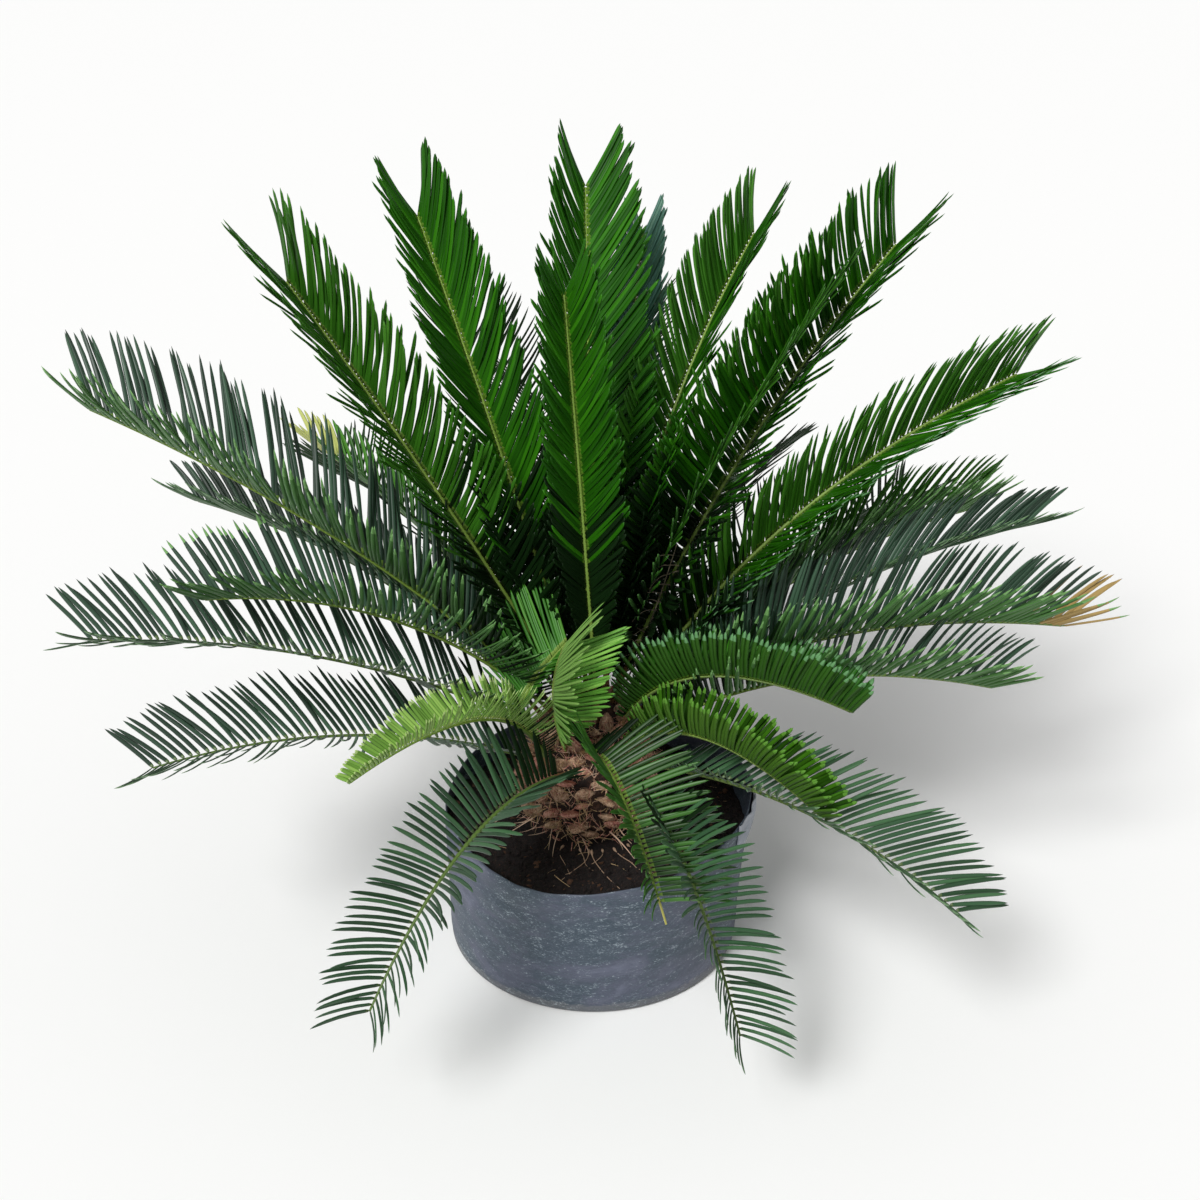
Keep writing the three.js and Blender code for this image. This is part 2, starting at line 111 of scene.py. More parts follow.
FRONDS = {
    # erect young fronds
    1: frond((164, CROWN), (154, 450, 846), 55, "bright", leaf=140, wide=71, close=33, fold=66,
        turn=36, end=0.86, last=0.68),
    2: frond((128, CROWN), (132, 344, 910), 64, "deep", leaf=114, wide=49, close=24, turn=21,
        end=0.87, last=0.48),
    3: frond((-80, CROWN), (117, 80, 865), 81, "deep", leaf=95, wide=52, fold=52, turn=15,
        first=0.25, end=0.88),
    4: frond((94, CROWN), (92, 267, 900), 77, "deep", wide=50, fold=39, turn=-14, last=0.54),
    5: frond((70, UPPER), (80, 369, 807), 72, "blue", leaf=86, wide=47, fold=48, turn=-7,
        last=0.46),
    6: frond((60, CROWN), (58, 432, 829), 78, "deep", leaf=104, wide=63, fold=62, turn=-11,
        end=0.88, last=0.44),
    7: frond((52, UPPER), (37, 377, 782), 80, "bright", leaf=113, wide=71, fold=70, turn=-25,
        lift=0.36),
    8: frond((27, CROWN), (37, 523, 841), 60, "deep", leaf=136, wide=84, close=26, fold=65,
        turn=-26, end=0.87, last=0.52),
    # right-hand side
    9: frond((14, UPPER), (17, 573, 693), 59, "deep", leaf=112, wide=57, close=12, fold=61,
        turn=-45, lift=0.48, end=0.9, last=0.5),
    10: frond((22, MIDDLE), (18, 517, 503), 51, "bright", leaf=111, wide=61, fold=72, turn=-20,
        end=0.9, last=0.53),
    11: frond((0, MIDDLE), (9, 545, 517), 46, "slate", leaf=91, wide=45, fold=46, turn=-13),
    12: frond((-16, UPPER), (-7, 561, 457), 39, "bright", leaf=113, wide=64, fold=62, turn=-11,
        lift=0.52, dry_end=0.93),
    13: frond((-21, MIDDLE), (-6, 473, 366), 38, "bright", leaf=114, wide=78, close=17, fold=71,
        turn=-25, end=0.95),
    14: frond((-44, UPPER), (-22, 329, 372), 64, "deep", leaf=66, wide=86, close=10, fold=52,
        turn=20, lift=0.54, curl=0.12),
    15: frond((-50, MIDDLE), (-39, 337, 289), 47, "fresh", leaf=58, wide=81, close=15, fold=66,
        turn=2, lift=0.52, curl=0.12),
    16: frond((-34, LOWER), (-37, 502, 231), 17, "slate", leaf=113, wide=69, fold=26, turn=13,
        lift=0.55, end=0.95, last=0.35),
    # towards the front
    17: frond((-102, MIDDLE), (-73, 291, 189), 40, "bright", leaf=97, wide=83, close=9, fold=47,
        turn=13, lift=0.42, last=0.53, bare_end=0.9),
    18: frond((-66, LOWER), (-66, 402, 100), 30, "slate", leaf=93, wide=86, fold=60, lift=0.48,
        first=0.36),
    19: frond((-118, LOWER), (-123, 449, 142), 23, "slate", leaf=95, wide=81, fold=54, turn=16,
        lift=0.54, first=0.07, last=0.54),
    # left-hand side
    20: frond((-154, LOWER), (-160, 542, 339), 29, "slate", leaf=112, wide=77, fold=19, turn=-5,
        lift=0.55),
    21: frond((-172, MIDDLE), (-165, 591, 489), 36, "slate", leaf=135, wide=78, fold=20, turn=-7,
        lift=0.54, last=0.55),
    22: frond((-168, UPPER), (-170, 463, 497), 50, "bright", leaf=132, wide=82, fold=29, turn=-10,
        lift=0.58, curl=0.06),
    23: frond((167, MIDDLE), (168, 505, 540), 51, "slate", leaf=85, wide=56, fold=40, lift=0.53),
    24: frond((170, UPPER), (-176, 595, 739), 50, "bright", leaf=140, wide=64, close=12, fold=36,
        end=0.9, last=0.38),
    25: frond((146, UPPER), (148, 430, 566), 52, "bright", leaf=70, wide=50, fold=50,
        pale_end=0.86),
    # short unfolding fronds in the middle, and the pale arch
    26: frond((-148, UPPER), (-143, 27, 421), 176, "young", leaf=98, wide=64, close=8, fold=30,
        turn=-13, lift=0.91, first=0.5, last=0.75, hug=0.35),
    27: frond((-124, MIDDLE), (-125, 48, 430), 117, "light", leaf=91, wide=59, close=6, fold=70,
        turn=-66, lift=0.86, first=0.3, last=0.75),
    28: frond((-140, LOWER), (-130, 409, 403), 70, "pale", leaf=68, wide=86, close=37, fold=51,
        turn=-6, last=0.3, curl=0.1, slimmer=0.58),
    # far side
    29: frond((118, UPPER), (113, 500, 640), 60, "shade"),
    30: frond((93, UPPER), (84, 540, 610), 58, "shade"),
    31: frond((97, MIDDLE), (98, 590, 470), 46, "shade"),
    32: frond((66, MIDDLE), (64, 560, 410), 42, "shade"),
    33: frond((128, MIDDLE), (128, 600, 400), 40, "shade"),
    34: frond((43, MIDDLE), (42, 590, 375), 38, "shade"),
}

# erect fronds are still closed fans: their leaflets stand close along the rib and end bluntly
CLOSED = (1, 2, 3, 4, 5, 6, 7, 8)
SIDE = (9, 10, 11, 12, 13, 22, 23, 24)
YOUNG = (14, 15, 26, 27)
# millimetres from leaflet to leaflet along the rib, and across a leaflet
PITCH = {**dict.fromkeys(CLOSED, 4.5), **dict.fromkeys(SIDE, 6.4), 9: 4.6, 10: 5.4, 14: 4.4,
         15: 4.4, 17: 5.4, 18: 7.0, 19: 7.0, 26: 2.8, 27: 3.0, 28: 4.2}
WIDTH = {**dict.fromkeys(CLOSED, 5.6),
         **dict.fromkeys((10, 11, 12, 13, 16, 20, 21, 22, 23, 24), 5.0),
         **dict.fromkeys((14, 15, 17, 18, 19), 5.2), 9: 5.4, 26: 3.6, 27: 4.0, 28: 4.2}
# leaflets gather in loose groups: each leans towards its group's middle, degrees for each place
GATHER = {**dict.fromkeys(CLOSED, 0.35), **dict.fromkeys(YOUNG, 0.1), 3: 0.15, 9: 0.3, 24: 0.9,
          10: 0.4}
# older leaflets turn their upper side towards the tip of the frond, degrees
TWIST = {**dict.fromkeys(CLOSED, 2), **dict.fromkeys(YOUNG, 4), 9: 4, 10: 8, 11: 14, 12: 14,
         24: 14, 23: 14}
# share of the rib, from its foot, whose leaflets are painted nearly black green: painted shade deep
# in the crown
PAINTED_SHADE_FOOT = {**dict.fromkeys(CLOSED, 0.3), **dict.fromkeys(SIDE, 0.24), 3: 0.4, 25: 0.3,
             21: 0.16, 20: 0.14, 7: 0.16, 17: 0.14, 18: 0.3, 19: 0.2, 28: 0.16}
# how much more the tips of the near side's leaflets curl up, share of their length
NEAR_CURL = {**dict.fromkeys(SIDE, 0.06), 20: 0.04, 21: 0.04, 16: 0.03}
# the look of the far side's leaflets, where it isn't the frond's own: painted light and shade,
# greyer, darker or brighter than the near side for how light and sheen fall on it
FAR_PAINTED_LIGHT_LOOK = {**dict.fromkeys((11, 12, 13, 20, 21, 22, 23, 24), "far"), 6: "bright", 9: "bright",
            10: "bright", 17: "dusky"}
# a leaflet's outline: shares of its length, and of its full width there and at the point
STATIONS = np.array([0, 0.05, 0.26, 0.5, 0.72, 0.86, 0.94])
SLENDER = [0.55, 0.9, 1, 1, 0.94, 0.76, 0.46, 0]
BLUNT = [0.85, 1, 1, 1, 1, 0.94, 0.72, 0]
# a leaflet's section, shares of its width: a shallow groove along the middle, edges rolled down
BLADE = np.array([[-0.5, -0.2], [-0.28, 0.02], [0, -0.05], [0.28, 0.02], [0.5, -0.2], [0, -0.3]])
BLADE_UPPER = 4  # the first faces round the section are the upper side


# ---- small tools -----------------------------------------------------------
def linear(code):
    """sRGB hex to linear RGBA."""
    parts = [int(code[i:i + 2], 16) / 255 for i in (1, 3, 5)]
    return [p / 12.92 if p <= 0.04045 else ((p + 0.055) / 1.055) ** 2.4 for p in parts] + [1.0]


def per_metre(size):
    """Scale of a pattern with grains of this many millimetres: the whole grains in a metre."""
    return round(1 / (size * MM))


def add_node(tree, kind, links=(), values=None, stops=(), **settings):
    """Adds a node. links are (input, output socket) pairs, values belong to numbered sockets and
    stops are a ramp's (place, hex) pairs. settings set the node's properties or named sockets."""
    made = tree.nodes.new(kind)
    for name, value in settings.items():
        if hasattr(made, name):
            setattr(made, name, value)
        else:
            made.inputs[name.replace("_", " ")].default_value = value
    for number, value in (values or {}).items():
        made.inputs[number].default_value = value
    while 0 < len(stops) > len(made.color_ramp.elements):
        made.color_ramp.elements.new(0.5)
    for k, (place, code) in enumerate(stops):
        made.color_ramp.elements[k].position = place
        made.color_ramp.elements[k].color = linear(code)
    for name, source in links:
        tree.links.new(source, made.inputs[name])
    return made


def surface(name, **settings):
    """A new material with a Principled shader set to these values."""
    made = bpy.data.materials.new(name)
    made.use_nodes = True
    shader = made.node_tree.nodes["Principled BSDF"]
    for key, value in settings.items():
        shader.inputs[key.replace("_", " ")].default_value = value
    return made, made.node_tree, shader


def plain(name, code, **settings):
    """A new material of one colour."""
    return surface(name, Base_Color=linear(code), **settings)[0]


def unit(v):
    return v / np.linalg.norm(v, axis=-1, keepdims=True)


def around(count):
    """Angles of this many points round a ring."""
    return np.linspace(0, 2 * np.pi, count, endpoint=False)


def aimed(azimuth, lift):
    """Directions of length 1 from angles in radians."""
    flat = np.cos(lift)
    return np.stack([flat * np.cos(azimuth), flat * np.sin(azimuth), np.sin(lift)], -1)


def bezier(start, bend, end, t):
    return (1 - t) ** 2 * start + 2 * t * (1 - t) * bend + t ** 2 * end


def place_in_scene(name, data):
    made = bpy.data.objects.new(name, data)
    bpy.context.scene.collection.objects.link(made)
    return made


def add_mesh(name, points, loops, counts, slots, materials):
    """A smooth mesh object: points in mm, the point at each corner, corners and slot per face."""
    mesh = bpy.data.meshes.new(name)
    points = np.asarray(points, float).reshape(-1, 3) * MM
    counts = np.asarray(counts)
    mesh.vertices.add(len(points))
    mesh.vertices.foreach_set("co", points.ravel())
    mesh.loops.add(len(loops))
    mesh.loops.foreach_set("vertex_index", np.asarray(loops, np.int32))
    mesh.polygons.add(len(counts))
    mesh.polygons.foreach_set("loop_start", np.r_[0, np.cumsum(counts)[:-1]].astype(np.int32))
    mesh.polygons.foreach_set("material_index", np.asarray(slots, np.int32))
    mesh.polygons.foreach_set("use_smooth", np.full(len(counts), True))
    mesh.update(calc_edges=True)
    mesh.validate()
    for material in materials:
        mesh.materials.append(material)
    return place_in_scene(name, mesh)


def bundle(name, strands, materials):
    """Closed strands in one mesh, facing out, from an array (strands, rings, sides, 3).

    The faces of a strand are its quads, lowest ring first, and then its two ends."""
    strands = np.asarray(strands, float)
    count, n, sides = strands.shape[:3]
    i = np.arange(sides)
    j = (i + 1) % sides
    quads = np.concatenate([
        np.stack([r * sides + i, r * sides + j, (r + 1) * sides + j, (r + 1) * sides + i], 1)
        for r in range(n - 1)])
    loops = np.r_[quads.ravel(), i[::-1], (n - 1) * sides + i]
    loops = (loops + n * sides * np.arange(count)[:, None]).ravel()
    counts = np.tile(np.r_[np.full(len(quads), 4), sides, sides], count)
    return add_mesh(name, strands, loops, counts, np.zeros(len(counts), int), materials)


def shell(name, rings, *materials):
    """One closed shell from an array of rings (rings, sides, 3)."""
    return bundle(name, [rings], materials)


def strand(path, widths, sides=6):
    """Rings round a path of points, as wide as given at each."""
    along = unit(np.gradient(path, axis=0))
    side = unit(np.cross(along, (0.3, 0.1, 1)))
    up = np.cross(side, along)
    turn = around(sides)[None, :, None]
    ring = np.cos(turn) * side[:, None] + np.sin(turn) * up[:, None]
    return path[:, None] + np.asarray(widths)[:, None, None] / 2 * ring


# ---- materials -------------------------------------------------------------
# sockets of a colour mix
MIX_SHARE, MIX_FROM, MIX_TO, MIXED = 0, 6, 7, 2
GLOSSY, MATT = 0.42, 0.55


def leaf_surface(name, code, roughness=GLOSSY, specular=0.3):
    # living leaf under a waxy cuticle: one plain tone for a leaflet, with a broad soft gloss
    return plain(name, code, Roughness=roughness, IOR=1.45, Specular_IOR_Level=specular)


# three tones of the upper side, the underside, the swollen foot, the curled tip with a painted
# sheen, and how the wax shines
LOOKS = {
    "deep": ("#1a4e04", "#235e06", "#30730b", "#2c5614", "#5d8228", "#5f8f5c", 0.26),
    "bright": ("#2c6012", "#38721a", "#478426", "#48743a", "#6f8f3a", "#6f9e5c", 0.35),
    # used only on a far side: painted shade, darker than the frond's own look
    "dusky": ("#1f4110", "#2a5218", "#3b6a27", "#3c5a2c", "#6d8a38", "#5f8a50", 0.45),
    "fresh": ("#1f4404", "#2a5407", "#386a0f", "#436a1e", "#7a9636", "#588a30", 0.25),
    "slate": ("#26462a", "#315536", "#3e6640", "#44663f", "#506638", "#6b8f62", 0.55),
    # a far side's painted sheen and shade: grey slate green
    "far": ("#213728", "#2c4634", "#3a5842", "#33503a", "#3f5436", "#557457", 0.5),
    # blue grey green: partly the frond's own tone, partly a painted sheen
    "blue": ("#42705a", "#528272", "#66967f", "#4a7252", "#5c7a4c", "#8fb5a2", 0.7),
    "young": ("#2f6a16", "#3c7a20", "#508c30", "#4e8038", "#7f9a48", "#7fae58", 0.35),
    "light": ("#548a30", "#659d40", "#7db24e", "#749c4c", "#9aaa5e", "#a2c678", 0.35),
    "pale": ("#6c963e", "#7faa4c", "#98c05e", "#86a45a", "#a9b860", "#b4ce82", 0.3),
    # the far side's fronds: nearly black green, painted shade
    "shade": ("#0b2207", "#102b0a", "#16380d", "#1c3518", "#24361a", "#254424", 0.2),
}
# slots of a frond: six tones of its own (the tip's is a painted sheen), three for old leaflets and
# painted shade deep in the crown, four of its far side in painted light and shade
UPPER_COUNT, UNDER_TONE, FOOT_TONE, TIP_SHEEN_TONE = 3, 3, 4, 5
DRY_TONE, PALE_TONE, PAINTED_SHADE_TONE, FAR_PAINTED_LIGHT_TONE = 6, 7, 8, 9
UPPER_SHARES = [0.4, 0.4, 0.2]
# a dead leaflet is dull straw, a dying one yellow with some wax left
DRY_LEAF = leaf_surface("dried leaflet", "#a78d58", 0.7)
PALE_LEAF = leaf_surface("yellowed leaflet", "#b9c070", 0.5)
# painted shade: living leaf coloured nearly black green where the crown shades it, almost no gloss
PAINTED_SHADE_LEAF = leaf_surface("leaflet in painted crown shade", "#0c2308", 0.5, 0.2)
LEAF_TONES = {
    look: [leaf_surface(f"waxy cycad leaflet {look} {k}", code, MATT if k == UNDER_TONE else GLOSSY,
                        row[-1])
           for k, code in enumerate(row[:-1])]
    for look, row in LOOKS.items()
}


def tones(look, far_look):
    """The materials of a frond in the order of its slots."""
    return LEAF_TONES[look] + [DRY_LEAF, PALE_LEAF, PAINTED_SHADE_LEAF] + LEAF_TONES[far_look][:FOOT_TONE]


# living rib, smooth and waxy: yellow green above, duller underneath and on older fronds
RIB_TOP = plain("frond rib upper side", "#7c9a3c", Roughness=0.5, IOR=1.45)
RIB_OLD = plain("old frond rib upper side", "#566f30", Roughness=0.5, IOR=1.45)
RIB_UNDER = plain("frond rib underside", "#5f7438", Roughness=0.55, IOR=1.45)
# brown wool on the swollen foot of a rib: no gloss
RIB_FOOT = plain("frond foot, felted", "#7a5a38", Roughness=0.85)
# rib that has lost its leaflets: clear yellow
RIB_BARE = plain("frond rib yellow end", "#c3bd62", Roughness=0.5)


def half_of_both(tree, one, other):
    """The mean of two values."""
    both = add_node(tree, "ShaderNodeMath", [(0, one), (1, other)], operation="ADD")
    return add_node(tree, "ShaderNodeMath", [(0, both.outputs[0])], {1: 0.5},
                    operation="MULTIPLY").outputs[0]


def connect(tree, shader, colour, bump):
    tree.links.new(colour, shader.inputs["Base Color"])
    tree.links.new(bump.outputs[0], shader.inputs["Normal"])


def fibre_surface(name, stops):
    # dry plant fibre matted together by growth: tufts about 18 mm across, straw-coloured where they
    # fray, and darker in the bump's hollows as painted shade.
    # Real fibres are 0.2 mm thick and are drawn 1.4 mm to show.
    made, tree, shader = surface(name, Roughness=0.85)
    where = add_node(tree, "ShaderNodeTexCoord").outputs["Object"]
    tufts = add_node(tree, "ShaderNodeTexNoise", [("Vector", where)], Scale=per_metre(18.2),
                     Detail=5, Roughness=0.65)
    thick, long = per_metre(1.428), per_metre(4.55)
    drawn = add_node(tree, "ShaderNodeMapping", [("Vector", where)], Scale=(thick, thick, long))
    fine = add_node(tree, "ShaderNodeTexNoise", [("Vector", drawn.outputs[0])], Scale=1, Detail=4)
    felt = half_of_both(tree, tufts.outputs["Fac"], fine.outputs["Fac"])
    # the dark end of the ramp falls where the bump is low: painted shade in the hollows
    colour = add_node(tree, "ShaderNodeValToRGB", [("Fac", felt)], stops=stops).outputs[0]
    bump = add_node(tree, "ShaderNodeBump", [("Height", felt)], Strength=0.6, Distance=2 * MM)
    connect(tree, shader, colour, bump)
    return made


def soil_surface():
    # moist peat and bark mix: nearly black crumbs of about 4 mm with tan specks, no gloss
    made, tree, shader = surface("moist potting soil", Roughness=0.95)
    where = add_node(tree, "ShaderNodeTexCoord").outputs["Object"]
    grains = add_node(tree, "ShaderNodeTexNoise", [("Vector", where)], Scale=per_metre(3.85),
                      Detail=5, Roughness=0.7).outputs["Fac"]
    stops = [(0.35, "#0b0505"), (0.55, "#1a0f0d"), (0.68, "#33201a"), (0.78, "#6f5138")]
    colour = add_node(tree, "ShaderNodeValToRGB", [("Fac", grains)], stops=stops).outputs[0]
    bump = add_node(tree, "ShaderNodeBump", [("Height", grains)], Strength=1, Distance=4 * MM)
    connect(tree, shader, colour, bump)
    return made


def film_surface(name, stops):
    # blown polythene film, handled and weathered: slate blue and mauve grey clouds of about 110 mm
    # that are drawn out sideways, 14 mm worn patches, and pale specks and scuffs. The specks are
    # finer than a millimetre on a real bag and are drawn 3 mm to show.
    made, tree, shader = surface(name, Roughness=0.5, IOR=1.5)
    where = add_node(tree, "ShaderNodeTexCoord").outputs["Object"]
    drawn = add_node(tree, "ShaderNodeMapping", [("Vector", where)], Scale=(1, 1, 2.6)).outputs[0]
    clouds, worn, specks = (
        add_node(tree, "ShaderNodeTexNoise", [("Vector", drawn)], Scale=per_metre(size),
                 Detail=detail, Roughness=rough, Distortion=bent).outputs["Fac"]
        for size, detail, rough, bent in ((111, 9, 0.68, 0.5), (14.3, 6, 0.75, 0.8),
                                          (3.03, 3, 0.7, 0)))
    grain = half_of_both(tree, worn, specks)
    patchy = add_node(tree, "ShaderNodeMath", [(0, clouds), (2, grain)], {1: -0.22},
                      operation="MULTIPLY_ADD").outputs[0]
    height = add_node(tree, "ShaderNodeSeparateXYZ", [("Vector", where)]).outputs["Z"]
    low = add_node(tree, "ShaderNodeMath", [(0, worn), (2, height)], {1: -0.024},
                   operation="MULTIPLY_ADD").outputs[0]
    colour = add_node(tree, "ShaderNodeValToRGB", [("Fac", clouds)], stops=stops).outputs[0]
    for value, shares, code in (
            # a fine mottle in the film itself
            (grain, [(0.4, "#000000"), (0.6, "#707070")], "#7b8594"),
            # pale specks and short scuffs, thickest where the clouds are dark
            (patchy, [(0.435, "#000000"), (0.465, "#585858"), (0.51, "#d8d8d8")], "#a3b0b8"),
            # soil dust along the foot of the bag, up to about 15 mm high
            (low, [(0, "#808080"), (0.004, "#000000")], "#8d857c")):
        share = add_node(tree, "ShaderNodeValToRGB", [("Fac", value)], stops=shares).outputs[0]
        colour = add_node(tree, "ShaderNodeMix", [(MIX_FROM, colour), (MIX_SHARE, share)],
                          {MIX_TO: linear(code)}, data_type="RGBA").outputs[MIXED]
    rough = add_node(tree, "ShaderNodeMapRange", [("Value", clouds)], To_Min=0.42, To_Max=0.66)
    tree.links.new(rough.outputs[0], shader.inputs["Roughness"])
    bump = add_node(tree, "ShaderNodeBump", [("Height", worn)], Strength=0.25, Distance=2 * MM)
    connect(tree, shader, colour, bump)
    return made


# old leaf bases, felted and dry: brown with straw-coloured ends
FIBRE = fibre_surface("dry fibrous leaf base", [
    (0.36, "#4a2e22"), (0.44, "#95705a"), (0.52, "#c2a084"), (0.63, "#e8d0b0")])
# younger leaf bases that keep some red
RED_FIBRE = fibre_surface("reddish leaf base", [
    (0.36, "#5a261f"), (0.44, "#a5645a"), (0.53, "#cc9480"), (0.64, "#e8c4ac")])
# felt in the gaps between them: dark brown, painted nearly black as the shade in the gaps
GAP_FELT_PAINTED_SHADE = fibre_surface("gap felt in painted shade", [
    (0.4, "#140c09"), (0.52, "#2c1b14"), (0.62, "#553a2a")])
SOIL = soil_surface()
# chips of composted bark: plain dark brown, dull
BARK = plain("composted bark chip", "#4a3120", Roughness=0.9)
FILM = film_surface("scuffed polythene film", [
    (0.34, "#283a46"), (0.46, "#35424f"), (0.56, "#454a5b"), (0.7, "#606477")])
# the same film where it is creased and turned inside out: paler grey
FOLDED_FILM = film_surface("creased polythene film", [
    (0.34, "#787e89"), (0.5, "#989ca5"), (0.66, "#b9bcc2")])
# dead grass and leaf fibre: light tan, slightly silky
STRAW = plain("dry straw", "#c4a67c", Roughness=0.8)
# root bark: pinkish cream where it is clean, greyer where thin roots lie in the soil
ROOT = plain("pale surface root", "#dcbca2", Roughness=0.75)
THIN_ROOT = plain("thin earthy root", "#b3957c", Roughness=0.8)
# leaflets bleached by weather: grey and quite dull
DEAD_FROND = plain("dead weathered frond", "#a39680", Roughness=0.9)


# ---- fronds ----------------------------------------------------------------
def rib_frame(f, shares):
    """Points, directions along, sideways and up at these shares of the rib, and its length."""
    azimuth, (height, radius) = math.radians(f["foot"][0]), f["foot"][1]
    start = np.array([radius * math.cos(azimuth), radius * math.sin(azimuth), height])
    aim, reach, top = math.radians(f["tip"][0]), f["tip"][1], f["tip"][2]
    end = np.array([reach * math.cos(aim), reach * math.sin(aim), top])
    chord = end - start
    heading = math.atan2(chord[1], chord[0])
    way = aimed(heading, math.radians(f["rise"]))
    bend = start + way * np.linalg.norm(chord) * f["lift"]
    fine = bezier(start, bend, end, np.linspace(0, 1, 241)[:, None])
    run = np.r_[0, np.cumsum(np.linalg.norm(np.diff(fine, axis=0), axis=1))]
    slope = unit(np.gradient(fine, axis=0))
    at, along = (np.stack([np.interp(shares * run[-1], run, line[:, k]) for k in range(3)], -1)
                 for line in (fine, slope))
    along = unit(along)
    level = np.array([math.sin(heading), -math.cos(heading), 0])
    roll = math.radians(f["turn"])
    side = level * math.cos(roll) + np.cross(level, along) * math.sin(roll)
    return at, along, side, np.cross(side, along), run[-1]


def rib_width(x):
    return RIB_WIDTH + (RIB_TIP_WIDTH - RIB_WIDTH) * x


def leaf_length(f, x):
    grown = np.clip((x - f["first"] / 2) / (f["first"] / 2 + LEAF_GROWN), 0, 1) ** 0.6
    shorter = np.clip((x - LEAF_SHORTEN) / (1 - LEAF_SHORTEN), 0, 1) ** 2.5
    return np.maximum(f["leaf"] * grown * (1 - (1 - f["last"]) * shorter), SPINE_LENGTH)


def leaflet_faces():
    """Corners of a leaflet's faces, which of them are its upper side, and their row."""
    faces, upper, row = [], [], []
    sides, rows = len(BLADE), len(STATIONS)
    for r in range(rows):
        for i in range(sides):
            a, b = sides * r + i, sides * r + (i + 1) % sides
            point = sides * rows
            faces.append([b, a, a + sides, b + sides] if r < rows - 1 else [b, a, point])
            upper.append(i < BLADE_UPPER)
            row.append(r)
    faces.append(list(range(sides)))
    upper.append(False)
    row.append(0)
    return faces, np.array(upper), np.array(row)


LEAFLET_FACES, LEAFLET_UPPER, LEAFLET_ROW = leaflet_faces()


def inside_pot_or_trunk(points):
    """Which points are in the bag or just over its rim, in the trunk, or too near the floor."""
    top, reach, middle, floor = 215, 196, 190, 4
    r = np.hypot(points[..., 0], points[..., 1])
    z = points[..., 2]
    pot = (z < top) & (r < reach) & (z < middle + 0.1 * r)
    stem = (z < TRUNK_CUT + TRUNK_TIP) & (r < trunk_radius(z - TRUNK_CUT) - 2)
    return pot | stem | (z < floor)


def gathered(count):
    """Places of a row of leaflets in loose groups, counted from each group's middle."""
    places, start = np.zeros(count), 0
    while start < count:
        size = int(RNG.integers(4, 14))
        places[start:start + size] = (np.arange(size) - (size - 1) / 2)[:count - start]
        start += size
    return places


def leaflet_points(f):
    """Points (leaflets, corners, 3) by the same rule as the solid's, then each one's share of the
    rib, whether it is on the far side, and which leaflets stay clear of the pot and the trunk."""
    length = rib_frame(f, np.array([0.0, 1.0]))[4]
    last = f.get("bare_end", 1) * f["end"]
    pairs = int(length * (last - SPINE_FIRST) / f["pitch"])
    shares = np.repeat(np.linspace(SPINE_FIRST, last, pairs), 2)
    sign = np.tile([1.0, -1.0], pairs)[:, None]
    shares = np.clip(shares + RNG.normal(0, VARY_PLACE, len(shares)), 0, 1)
    at, along, side, up, _ = rib_frame(f, shares)
    x = shares[:, None]
    # which way each leaflet points, and which way its upper side looks
    lean = np.stack([gathered(pairs), gathered(pairs)], 1).reshape(-1, 1) * f["gather"]
    vary = RNG.normal(0, VARY_ANGLE, x.shape)
    angle = np.radians(f["wide"] - f["close"] * x ** 1.5 + lean + vary)
    fold = np.radians(f["fold"] + RNG.normal(0, VARY_FOLD, x.shape))
    across = sign * side * np.cos(fold) + up * np.sin(fold)
    way = along * np.cos(angle) + across * np.sin(angle)
    forward = along * np.sin(angle) - across * np.cos(angle)
    face_up = up * np.cos(fold) - sign * side * np.sin(fold)
    # its middle line: bowed forward, curled up at the tip and sagging
    vary = 1 + RNG.normal(0, VARY_LENGTH, x.shape)
    reach = leaf_length(f, x) * vary * (1 - f.get("slimmer", 0) * x)
    reach = np.where(sign > 0, reach * f.get("hug", 1), reach)
    half_rib = rib_width(x) / 2
    root = at + sign * side * half_rib * 0.5 + up * half_rib * RIB_DEPTH * RIB_FLAT
    u = np.r_[STATIONS, 1.0][None, :, None]
    sweep = LEAF_SWEEP + RNG.normal(0, VARY_SWEEP, x.shape)
    far = (sign * side)[:, 1:2] > 0.12
    curl = f.get("curl", LEAF_CURL) + RNG.normal(0, VARY_CURL, x.shape)
    curl = np.where(far | ("curl" in f), curl, curl + f["near_curl"])
    line = root[:, None] + reach[:, None] * (
        u * way[:, None] + sweep[:, None] * (u ** 2 - u) * forward[:, None]
        + curl[:, None] * u ** 2.5 * face_up[:, None] - LEAF_SAG * u ** 2 * np.array([0, 0, 1]))
    # its section at each station
    tangent = unit(np.gradient(line, axis=1))
    twist = np.radians(f["twist"] + RNG.normal(0, VARY_TWIST, x.shape))
    facing = face_up * np.cos(twist) + forward * np.sin(twist)
    across_leaf = unit(np.cross(tangent, facing[:, None]))
    normal = np.cross(across_leaf, tangent)
    width = np.minimum(f["width"], reach * 0.3)[:, None]
    w = width * np.array(f["outline"])[None, :, None]
    rings = line[:, :-1, None] + w[:, :-1, None] * (
        BLADE[None, None, :, 0, None] * across_leaf[:, :-1, None]
        + BLADE[None, None, :, 1, None] * normal[:, :-1, None])
    points = np.concatenate([rings.reshape(len(shares), -1, 3), line[:, -1:]], 1)
    return points, shares, far[:, 0], ~inside_pot_or_trunk(line).any(1)


